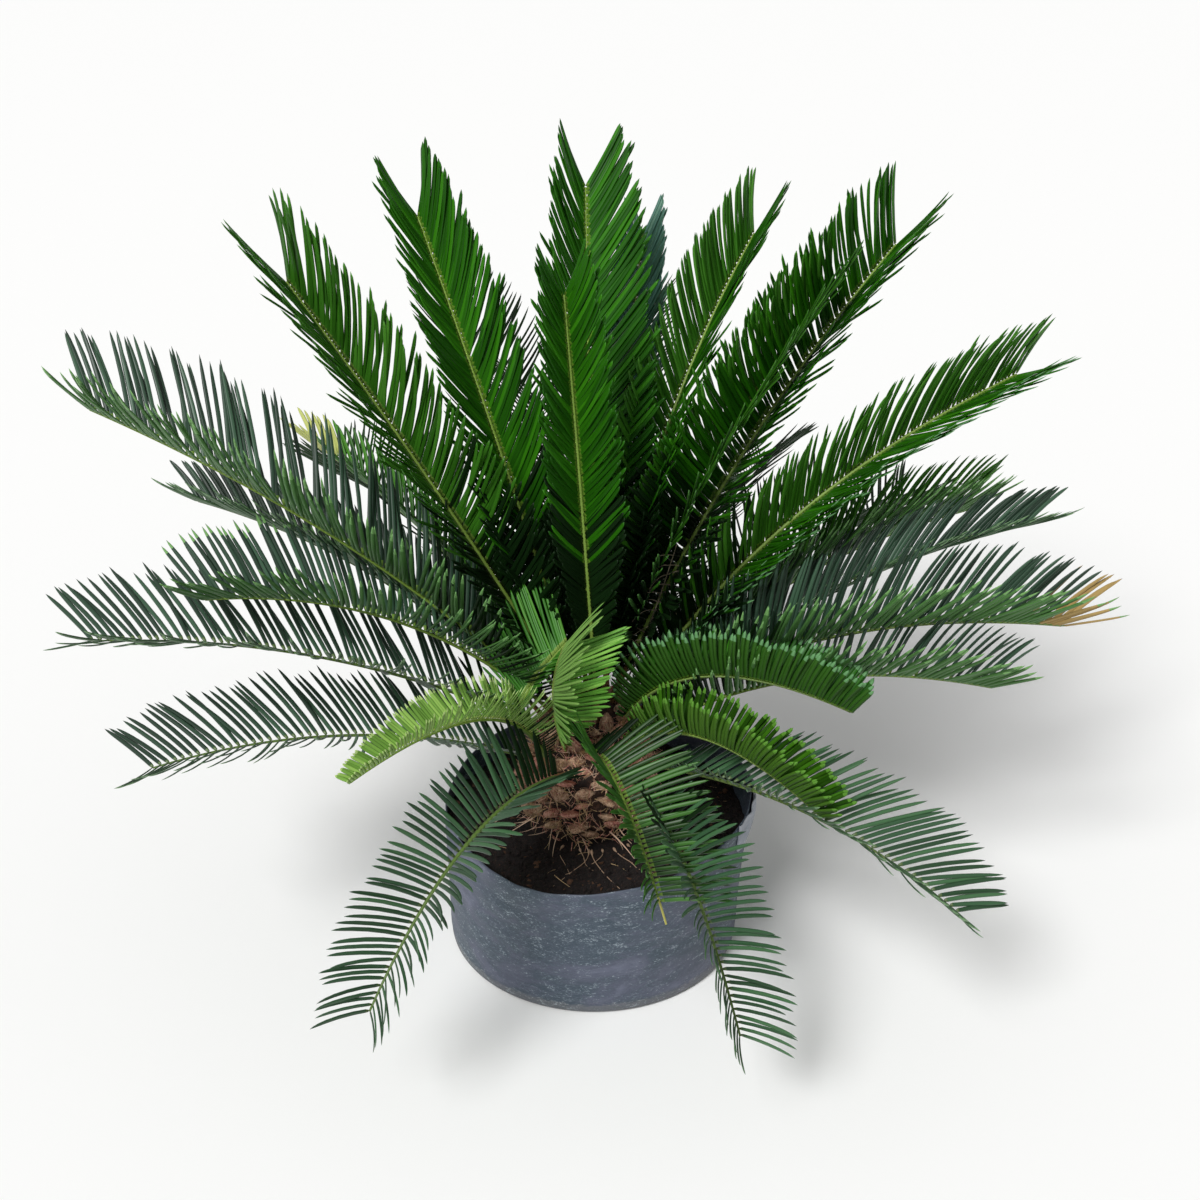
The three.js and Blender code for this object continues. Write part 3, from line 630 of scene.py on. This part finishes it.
def leaflet_slots(f, shares, far, keep):
    """The tone of each face of the leaflets that are kept."""
    count = len(shares)
    tone = np.stack([RNG.choice(UPPER_COUNT, count, p=UPPER_SHARES), np.full(count, UNDER_TONE)])
    # the far side's leaflets take its tones of painted light and shade
    tone = np.where(far, tone + FAR_PAINTED_LIGHT_TONE, tone)
    # leaflets near the rib's foot take the painted shade tone, nearly black green
    painted_shade_mask = shares < f["dark_foot"] + RNG.normal(0, VARY_PAINTED_SHADE, count)
    tone = np.where(painted_shade_mask, PAINTED_SHADE_TONE, tone)
    never = 2  # past the end of any rib
    for key, slot in (("dry_end", DRY_TONE), ("pale_end", PALE_TONE)):
        old = shares > f.get(key, never) * f["end"] + RNG.normal(0, VARY_DRY, count)
        tone = np.where(old, slot, tone)
    upper, under = tone[:, keep, None]
    slots = np.where(LEAFLET_UPPER[None], upper, under)
    slots[:, LEAFLET_ROW == 0] = np.where(painted_shade_mask[keep, None], PAINTED_SHADE_TONE, FOOT_TONE)
    # curled tips take a lighter tone: painted sheen
    if "curl" in f or f["near_curl"] > 0:
        near = ~far[keep, None] | ("curl" in f)
        slots[near & (LEAFLET_ROW >= len(STATIONS) - 2)[None]] = TIP_SHEEN_TONE
    return slots


def leaflets(name, f):
    """All leaflets of a frond in one mesh."""
    points, shares, far, keep = leaflet_points(f)
    slots = leaflet_slots(f, shares, far, keep)
    points = points[keep]
    kept, each = points.shape[:2]
    corners = np.concatenate(LEAFLET_FACES)
    loops = (corners[None] + each * np.arange(kept)[:, None]).ravel()
    sizes = np.tile([len(face) for face in LEAFLET_FACES], kept)
    return add_mesh(name, points, loops, sizes, slots.ravel(), tones(f["look"], f["far_look"]))


def rib(name, f):
    """The rib: a tapering stalk, flatter on top, with a felted foot."""
    shares = np.linspace(0, f["end"], 54)
    at, along, side, up, _ = rib_frame(f, shares)
    at[0] -= along[0] * RIB_SUNK
    w = RIB_SHARE * rib_width(shares)[:, None, None] / 2
    turn = around(RIB_SIDES) + np.pi / RIB_SIDES
    across, high = np.cos(turn), np.sin(turn)
    high = np.where(high > 0, high * RIB_DEPTH * RIB_FLAT, high * RIB_DEPTH)
    swell = 1 + 0.5 * np.clip(1 - shares / RIB_FELT, 0, 1)[:, None, None]
    rings = at[:, None] + w * swell * (
        across[None, :, None] * side[:, None] + high[None, :, None] * up[:, None])
    top = RIB_OLD if f["look"] == "slate" else RIB_TOP
    made = shell(name, rings, top, RIB_UNDER, RIB_FOOT, RIB_BARE)
    upper, under, foot, bare = range(4)
    slots = np.zeros(len(made.data.polygons), np.int32)
    share = np.repeat(shares[:-1], RIB_SIDES)
    column = np.tile(np.arange(RIB_SIDES), len(shares) - 1)
    walls = np.where(share < RIB_FELT, foot, np.where(column < RIB_SIDES // 2, upper, under))
    if "bare_end" in f:
        walls[share > (f["bare_end"] - 0.02) * f["end"]] = bare
    slots[:len(walls)] = walls
    made.data.polygons.foreach_set("material_index", slots)
    return made


# ---- trunk -----------------------------------------------------------------
def trunk_radius(h):
    return np.interp(h, *TRUNK_PROFILE.T)


def trunk_point(r, a, h):
    """Places at this distance from the leaning axis, this high above the cut."""
    axis = -TRUNK_LEAN * (1 - h / TRUNK_TIP) ** 1.5
    return np.stack([r * np.cos(a) + axis, r * np.sin(a), TRUNK_CUT + h], -1)


def trunk_core():
    """The body that shows between the leaf bases, nearly black with painted shade."""
    levels = np.r_[np.arange(0, 150, 3.0), 153, 156, 159, 161, 162.6]
    h, a = np.meshgrid(levels, around(120), indexing="ij")
    rough = (1.6 * np.sin(9 * a + h * 0.21) * np.sin(h * 0.33 + 2 * a)
             + 0.9 * np.sin(23 * a - h * 0.5)) * np.clip((TRUNK_TIP - h) / 30, 0, 1)
    depth_under_bases = 9
    r = np.maximum(trunk_radius(h) - depth_under_bases + rough, 0.5)
    return shell("trunk_core", trunk_point(r, a, h), GAP_FELT_PAINTED_SHADE)


def without_link(made):
    """Takes a unit that a node tree repeats out of the scene."""
    bpy.context.scene.collection.objects.unlink(made)
    return made


def leaf_base(material):
    """One old leaf base: a flat lozenge scale with a ragged, narrowing end."""
    steps = [[0, 11, 4.4], [10, 12.5, 4.8], [18, 12, 4.6], [25, 9, 3.8], [30, 5.6, 2.8],
             [33, 2.6, 1.5]]  # length, half width and half thickness
    turn = around(14)
    ragged_from = 24
    rings = []
    for x, w, d in steps:
        y = w * np.sign(np.cos(turn)) * np.abs(np.cos(turn)) ** 1.3
        z = d * np.sign(np.sin(turn)) * np.abs(np.sin(turn)) ** 1.3
        ragged = 1.6 * np.sin(4 * turn + x) * (x > ragged_from)
        rings.append(np.stack([-y, z, x + ragged], -1))
    return without_link(shell("leaf_base_unit", rings, material))


def strand_unit(name, length, width, sag, material):
    """A thin curved strand standing along +Z, square in section."""
    s = np.linspace(0, 1, 7)
    w = width * (1 - 0.75 * s)
    corners = np.array([[1, 1], [-1, 1], [-1, -1], [1, -1]]) / 2
    rings = [[[sag * t * t * length + c[0] * d, c[1] * d, t * length] for c in corners]
             for t, d in zip(s, w)]
    return without_link(shell(name, rings, material))


def seeded_points(name, places, aims, sizes):
    """A mesh of points in mm, with an aim and a size each, for a tree to stand things on."""
    mesh = bpy.data.meshes.new(name)
    mesh.from_pydata([tuple(p * MM) for p in places], [], [])
    aim = mesh.attributes.new("aim", "FLOAT_VECTOR", "POINT")
    aim.data.foreach_set("vector", np.asarray(aims).ravel())
    size = mesh.attributes.new("size", "FLOAT", "POINT")
    size.data.foreach_set("value", np.asarray(sizes, float))
    return place_in_scene(name, mesh)


def standing_tree(name, unit_object, material):
    """Node tree: stands the unit on each point along its aim, turned and sized, with a seed."""
    tree = bpy.data.node_groups.new(name, "GeometryNodeTree")
    tree.interface.new_socket("Geometry", in_out="INPUT", socket_type="NodeSocketGeometry")
    tree.interface.new_socket("Geometry", in_out="OUTPUT", socket_type="NodeSocketGeometry")
    for label, kind, value in (("Scale", "NodeSocketFloat", 1.0), ("Turn", "NodeSocketFloat", 0.2),
                               ("Seed", "NodeSocketInt", 3)):
        socket = tree.interface.new_socket(label, in_out="INPUT", socket_type=kind)
        socket.default_value = value
    given = add_node(tree, "NodeGroupInput").outputs
    unit_node = add_node(tree, "GeometryNodeObjectInfo", Object=unit_object)
    aim = add_node(tree, "GeometryNodeInputNamedAttribute", data_type="FLOAT_VECTOR", Name="aim")
    size = add_node(tree, "GeometryNodeInputNamedAttribute", data_type="FLOAT", Name="size")
    facing = add_node(tree, "FunctionNodeAlignRotationToVector",
                      [("Vector", aim.outputs["Attribute"])], axis="Z")
    low = add_node(tree, "ShaderNodeMath", [(0, given["Turn"])], {1: -1}, operation="MULTIPLY")
    spin = add_node(tree, "FunctionNodeRandomValue",
                    [("Seed", given["Seed"]), (2, low.outputs[0]), (3, given["Turn"])],
                    data_type="FLOAT")
    turn = add_node(tree, "FunctionNodeAxisAngleToRotation", [("Angle", spin.outputs[1])],
                    Axis=(0, 0, 1))
    both = add_node(tree, "FunctionNodeRotateRotation",
                    [("Rotation", facing.outputs[0]), ("Rotate By", turn.outputs[0])],
                    rotation_space="LOCAL")
    scale = add_node(tree, "ShaderNodeMath",
                     [(0, size.outputs["Attribute"]), (1, given["Scale"])], operation="MULTIPLY")
    stand = add_node(tree, "GeometryNodeInstanceOnPoints", [
        ("Points", given["Geometry"]), ("Instance", unit_node.outputs["Geometry"]),
        ("Rotation", both.outputs[0]), ("Scale", scale.outputs[0])])
    real = add_node(tree, "GeometryNodeRealizeInstances", [("Geometry", stand.outputs[0])])
    coat = add_node(tree, "GeometryNodeSetMaterial", [("Geometry", real.outputs[0])],
                    Material=material)
    add_node(tree, "NodeGroupOutput", [(0, coat.outputs[0])])
    return tree


def grow(name, points_object, tree, **inputs):
    """Runs the tree on the points and returns its result as a plain mesh object."""
    modifier = points_object.modifiers.new("grow", "NODES")
    modifier.node_group = tree
    for item in tree.interface.items_tree:
        if item.in_out == "INPUT" and item.name in inputs:
            modifier[item.identifier] = inputs[item.name]
    ready = points_object.evaluated_get(bpy.context.evaluated_depsgraph_get())
    mesh = bpy.data.meshes.new_from_object(ready)
    mesh.name = name
    bpy.data.objects.remove(points_object)
    return place_in_scene(name, mesh)


EVERY_WAY = 3.1  # half turn, for units that may stand any way round


def leaf_bases():
    """Old leaf bases in the spiral of the stem, pointing up and out: brown and reddish ones."""
    count, lowest, span = 128, 5, 140
    k = np.arange(count)
    h = lowest + span * (k / count) ** 0.95
    a = k * GOLDEN_ANGLE + RNG.normal(0, 0.06, count)
    r = trunk_radius(h) - 15 + RNG.normal(0, 2, count)
    places = trunk_point(r, a, h)
    lift = np.radians(26 + 42 * h / span + RNG.normal(0, 11, count))
    aims = aimed(a, lift)
    smaller_from = 115
    sizes = (0.8 + 0.22 * RNG.random(count)) * np.where(h > smaller_from, 0.75, 1)
    red = RNG.random(count) < 0.42
    made = []
    for name, some, material in (("brown_leaf_bases", ~red, FIBRE),
                                 ("reddish_leaf_bases", red, RED_FIBRE)):
        points = seeded_points(name + "_points", places[some], aims[some], sizes[some])
        tree = standing_tree(name.replace("_", " "), leaf_base(material), material)
        made.append(grow(name, points, tree, Turn=0.3, Seed=5))
    return made


def standing_on_trunk(count, low, high, depth, lift, spread):
    """Random places round the trunk, and aims: lift is its mean and deviation in degrees."""
    h = low + (high - low) * RNG.random(count)
    a = 2 * np.pi * RNG.random(count)
    places = trunk_point(trunk_radius(h) - depth, a, h)
    lift = np.radians(RNG.normal(*lift, count))
    return places, aimed(a + RNG.normal(0, spread, count), lift)


def trunk_fibres():
    """Felted fibres over the leaf bases in three tones, and pale roots out over the soil."""
    made = []
    for name, count, long, thick, material in (("tan_fibres", 1200, 15, 0.75, STRAW),
                                               ("pale_fibres", 760, 20, 0.6, ROOT),
                                               ("reddish_fibres", 800, 14, 0.9, RED_FIBRE)):
        places, aims = standing_on_trunk(count, 6, 150, -2.5, (28, 34), 1.2)
        points = seeded_points(name + "_points", places, aims, 0.45 + 0.8 * RNG.random(count))
        hair = strand_unit(name + "_unit", long, thick, 0.4, material)
        tree = standing_tree(name.replace("_", " "), hair, material)
        made.append(grow(name, points, tree, Turn=EVERY_WAY, Seed=9))
    places, aims = standing_on_trunk(46, 4, 30, 2, (-14, 12), 0.5)
    points = seeded_points("root_points", places, aims, 0.5 + 0.7 * RNG.random(len(places)))
    tree = standing_tree("surface roots", strand_unit("root_unit", 40, 1.5, 0.22, ROOT), ROOT)
    return made + [grow("surface_roots", points, tree, Turn=EVERY_WAY, Seed=12)]


# ---- grow bag and soil -----------------------------------------------------
def rim_height(a):
    sway = BAG_RIM_TILT * np.cos(a - BAG_RIM_HIGH_SIDE)
    return BAG_RIM_HEIGHT + sway + 2.2 * np.cos(3 * a + 1.9) + 1.6 * np.cos(5 * a + 0.4)


def bag_point(a, z, inset):
    """Places in the bag's wall at these angles and heights, this far in from its outside."""
    h = z / BAG_RIM_HEIGHT
    round_off = BAG_CORNER - np.sqrt(np.maximum(z * (2 * BAG_CORNER - z), 0))
    corner = np.where(z < BAG_CORNER, round_off, 0)
    slack = (1.5 * np.cos(4 * a + 0.8) + 1.1 * np.cos(7 * a + 2.1)) * np.clip(h, 0, 1) ** 2
    r = BAG_FOOT_RADIUS + (BAG_RIM_RADIUS - BAG_FOOT_RADIUS) * h - corner + slack - inset
    shift = BAG_RIM_SHIFT * np.clip(h, 0, 1) ** 2
    return np.stack([r * np.cos(a) + shift, r * np.sin(a), z + 0 * a], -1)


def wrinkles(a, t):
    """Soft creases of the film in mm, t from the foot to the rim."""
    level = (0.5 * np.sin(a * 3 + 9 * t) * np.sin(17 * t + a)
             + 0.35 * np.sin(31 * t + 4 * a + np.sin(5 * a)))
    upright = 0.5 * np.sin(19 * a + 3 * np.sin(3 * a) + 4 * t) * t ** 2
    return (level + upright) * np.clip(t * 12, 0, 1)


def grow_bag():
    """The film from the foot up to the cut rim, down inside it and across the floor."""
    turn = around(288)
    rings = [bag_point(turn, z + 0 * turn, 0) for z in (0, 0.5, 1.4, 2.8, 4.6, BAG_CORNER)]
    steps = np.linspace(0, 1, 44)[1:]
    for inset, way in ((0, steps), (FILM_SEEN, steps[::-1])):
        for t in way:
            z = BAG_CORNER + (rim_height(turn) - BAG_CORNER) * t
            rings.append(bag_point(turn, z, inset - wrinkles(turn, t)))
    rings.append(bag_point(turn, BAG_WALL + 0 * turn, 6.0))
    return shell("bag_film", rings, FILM)


def rim_fold():
    """A flap where the film is folded down over the rim, in soft upright pleats."""
    share = np.linspace(0, 1, 72)
    a = math.radians(-27) + math.radians(33) * share
    ends = np.sin(np.pi * share) ** 0.35
    above, thick = 3.5, 0.8
    rings = []
    for t in np.linspace(0, 1, 20):
        z = rim_height(a) + above - (30 + 20 * ends) * t
        pleats = (0.5 + 0.5 * np.sin(24 * share + 1.2 + 1.6 * t)) ** 1.6
        belly = 0.35 + 0.65 * np.sin(np.pi * min(1, 0.25 + 0.75 * t))
        out = 1.2 + (1.6 + 3.4 * pleats) * ends * belly
        outer, inner = bag_point(a, z, -out), bag_point(a, z, -out + thick)
        rings.append(np.concatenate([outer, inner[::-1]]))
    return shell("rim_fold", rings, FOLDED_FILM)


def soil_height(a, share):
    fall = SOIL_DIP * share ** 1.5
    return SOIL_LEVEL - fall + share * (1.8 * np.sin(3 * a + share * 5) + 1.3 * np.sin(7 * a - 1))


def soil_place(a, share, inset):
    """Where this share of the way from the trunk's seat to the film is: level places, heights."""
    z = soil_height(a, share)
    seat = SOIL_SEAT * np.stack([np.cos(a), np.sin(a)], -1)
    edge = bag_point(a, z, inset)[:, :2]
    return seat + (edge - seat) * np.reshape(share, (-1, 1)), z


def soil_body():
    """The bed of soil, lumpy on top and flat under the trunk."""
    turn = around(240)
    rings = [bag_point(turn, z + 0 * turn, 4.0) for z in (3.0, 8.0, 80.0)]
    for share in np.linspace(1, 0, 34):
        xy, z = soil_place(turn, share, 1.9)
        x, y = xy.T
        waves = np.sin(x * 0.31 + 1.7 * np.sin(y * 0.13)) * np.sin(y * 0.27 + 0.6)
        lumps = (1.6 * waves + RNG.normal(0, 0.7, len(turn))) * min(1, 4 * share)
        rings.append(np.c_[xy, z + lumps])
    return shell("soil_bed", rings, SOIL)


def front_roots():
    """Thin pale roots that run from the foot of the trunk over the soil, each from a pale bud."""
    t = np.linspace(0, 1, 26)
    bud_place, bud_length, bud_width = 0.06, 0.05, 2.8
    roots = []
    # azimuth and swing in degrees, and share of the way to the film
    for azimuth, bend, reach in ((-101, 12, 0.4), (-94, -14, 0.72), (-90, 16, 0.95),
                                 (-82, -22, 0.5), (-71, 8, 0.62), (-116, 14, 0.5), (-58, -9, 0.4),
                                 (160, 20, 0.5), (40, -15, 0.6), (95, 11, 0.7)):
        a = np.radians(azimuth + bend * t ** 1.6 + 1.3 * np.sin(6 * t + azimuth))
        r = SOIL_SEAT - 6 + (180 - SOIL_SEAT) * reach * t
        arch = 1.4 * np.sin(np.pi * t) ** 2 * np.sin(5 * t + bend) ** 2
        z = soil_height(a, reach * t) + arch + 0.9
        bud = bud_width * np.exp(-((t - bud_place) / bud_length) ** 2)
        path = np.stack([r * np.cos(a), r * np.sin(a), z], -1)
        roots.append(strand(path, 1.1 - 0.6 * t + bud))
    return bundle("front_roots", roots, [THIN_ROOT])


def dead_frond():
    """The grey, shrivelled remains of an old frond between the living ones."""
    t = np.linspace(0, 1, 22)[:, None]
    foot, bend, end = np.array([30, 16, 318]), np.array([58, 26, 372]), np.array([96, 52, 500])
    path = bezier(foot, bend, end, t)
    remains = [strand(path, 2.6 - 1.6 * t[:, 0])]
    count, bare, leafy = 26, 7, 14
    for k in range(count):
        start = path[bare + k * leafy // count]
        aim = unit(np.array([(-1) ** k * 0.9, RNG.normal(0, 0.4), RNG.normal(0.25, 0.3)]))
        long = 20 + 16 * RNG.random()
        hang = np.array([RNG.normal(0, 7), RNG.normal(0, 5), -12 - 8 * RNG.random()])
        leaflet = start + long * t * aim + hang * t ** 2.4
        remains.append(strand(leaflet, 1.3 - 0.8 * t[:, 0]))
    return bundle("dead_frond", remains, [DEAD_FROND])


def crumb_unit():
    """A crumb with twenty faces, dented at random and flatter than it is wide."""
    golden = (1 + 5 ** 0.5) / 2
    raw = [(-1, golden, 0), (1, golden, 0), (-1, -golden, 0), (1, -golden, 0), (0, -1, golden),
           (0, 1, golden), (0, -1, -golden), (0, 1, -golden), (golden, 0, -1), (golden, 0, 1),
           (-golden, 0, -1), (-golden, 0, 1)]
    faces = [(0, 11, 5), (0, 5, 1), (0, 1, 7), (0, 7, 10), (0, 10, 11), (1, 5, 9), (5, 11, 4),
             (11, 10, 2), (10, 7, 6), (7, 1, 8), (3, 9, 4), (3, 4, 2), (3, 2, 6), (3, 6, 8),
             (3, 8, 9), (4, 9, 5), (2, 4, 11), (6, 2, 10), (8, 6, 7), (9, 8, 1)]
    bent = unit(np.array(raw, float)) * (1 + 0.25 * RNG.normal(size=(12, 1))) * [1, 0.8, 0.55]
    made = bpy.data.meshes.new("crumb_unit")
    made.from_pydata([tuple(p * MM) for p in bent], [], faces)
    return bpy.data.objects.new("crumb_unit", made)


def scatter_on_soil(count, sink, inner, outer):
    a = 2 * np.pi * RNG.random(count)
    share = inner + (outer - inner) * RNG.random(count) ** 0.8
    xy, z = soil_place(a, share, 4)
    return np.c_[xy, z + 0.5 - sink]


def soil_crumbs(name, count, size, material, seed):
    places = scatter_on_soil(count, 0.3, 0, 0.97)
    aims = unit(RNG.normal(size=(count, 3)) * [0.6, 0.6, 1] + [0, 0, 0.6])
    sizes = size * (0.4 + RNG.random(count) ** 3 * 1.6)
    tree = standing_tree(name.replace("_", " "), crumb_unit(), material)
    points = seeded_points(name + "_points", places, aims, sizes)
    return grow(name, points, tree, Turn=EVERY_WAY, Seed=seed)


def soil_straws():
    count = 44
    places = scatter_on_soil(count, -0.6, 0.03, 0.9)
    swing = 2 * np.pi * RNG.random(count)
    lift = RNG.normal(0.02, 0.06, count)
    aims = np.stack([np.cos(swing), np.sin(swing), lift], -1)
    sizes = 0.3 + 0.8 * RNG.random(count) ** 2
    tree = standing_tree("soil straws", strand_unit("straw_unit", 34, 1.0, 0.25, STRAW), STRAW)
    points = seeded_points("straw_points", places, aims, sizes)
    return grow("soil_straws", points, tree, Turn=EVERY_WAY, Seed=4)


# ---- putting it together ---------------------------------------------------
def dress(piece, node):
    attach(piece, "root")
    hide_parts(node)


for number, row in FRONDS.items():
    node = f"frond_{number:02d}"
    row.update(pitch=PITCH.get(number, LEAF_PITCH), width=WIDTH.get(number, LEAF_WIDTH),
               gather=GATHER.get(number, LEAF_GATHER), twist=TWIST.get(number, LEAF_TWIST),
               outline=BLUNT if number in CLOSED + YOUNG else SLENDER,
               dark_foot=PAINTED_SHADE_FOOT.get(number, 0), near_curl=NEAR_CURL.get(number, 0),
               far_look=FAR_PAINTED_LIGHT_LOOK.get(number, row["look"]))
    dress(leaflets(node + "_leaflets", row), node)
    dress(rib(node + "_rib", row), node)
for piece in [trunk_core()] + leaf_bases() + trunk_fibres():
    dress(piece, "trunk")
for piece in (grow_bag(), rim_fold()):
    dress(piece, "grow_bag")
for piece in (soil_body(), soil_crumbs("soil_crumbs", 2600, 3.0, SOIL, 6),
              soil_crumbs("bark_chips", 300, 2.4, BARK, 8), soil_straws(), front_roots()):
    dress(piece, "soil")
remains = dead_frond()
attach(remains, "root")


# ---- studio ----------------------------------------------------------------
def studio():
    """A white paper floor, an even white sky and one broad soft light."""
    scene = bpy.context.scene
    scene.view_settings.view_transform = "Standard"
    # matt paper: white all over, no gloss
    paper = plain("matt paper sweep", "#f7f7f6", Roughness=0.9)
    just_under_the_bag = -0.0005
    bpy.ops.mesh.primitive_plane_add(size=40, location=(0, 0, just_under_the_bag))
    floor = bpy.context.object
    floor.name = "floor"
    floor.data.materials.append(paper)
    world = bpy.data.worlds.new("studio")
    world.use_nodes = True
    sky = world.node_tree.nodes["Background"].inputs
    sky["Color"].default_value = (1, 1, 1, 1)
    sky["Strength"].default_value = 0.41
    scene.world = world
    # the key is broad and far off, so that the paper is evenly white out to its edges
    light = bpy.data.lights.new("key", "SUN")
    light.energy = 2.8
    light.angle = math.radians(20)
    lamp = place_in_scene("key", light)
    lamp.rotation_euler = (math.radians(42), 0, math.radians(-32))


def camera():
    """The view of someone who stands about 2.4 m away and looks 28.9 degrees down."""
    data = bpy.data.cameras.new("camera")
    data.lens = 57
    data.sensor_width = 36
    made = place_in_scene("camera", data)
    made.location = (0.008, -1.890, 1.500)
    made.rotation_euler = (math.radians(90 - 28.9), 0, 0)
    bpy.context.scene.camera = made


studio()
camera()
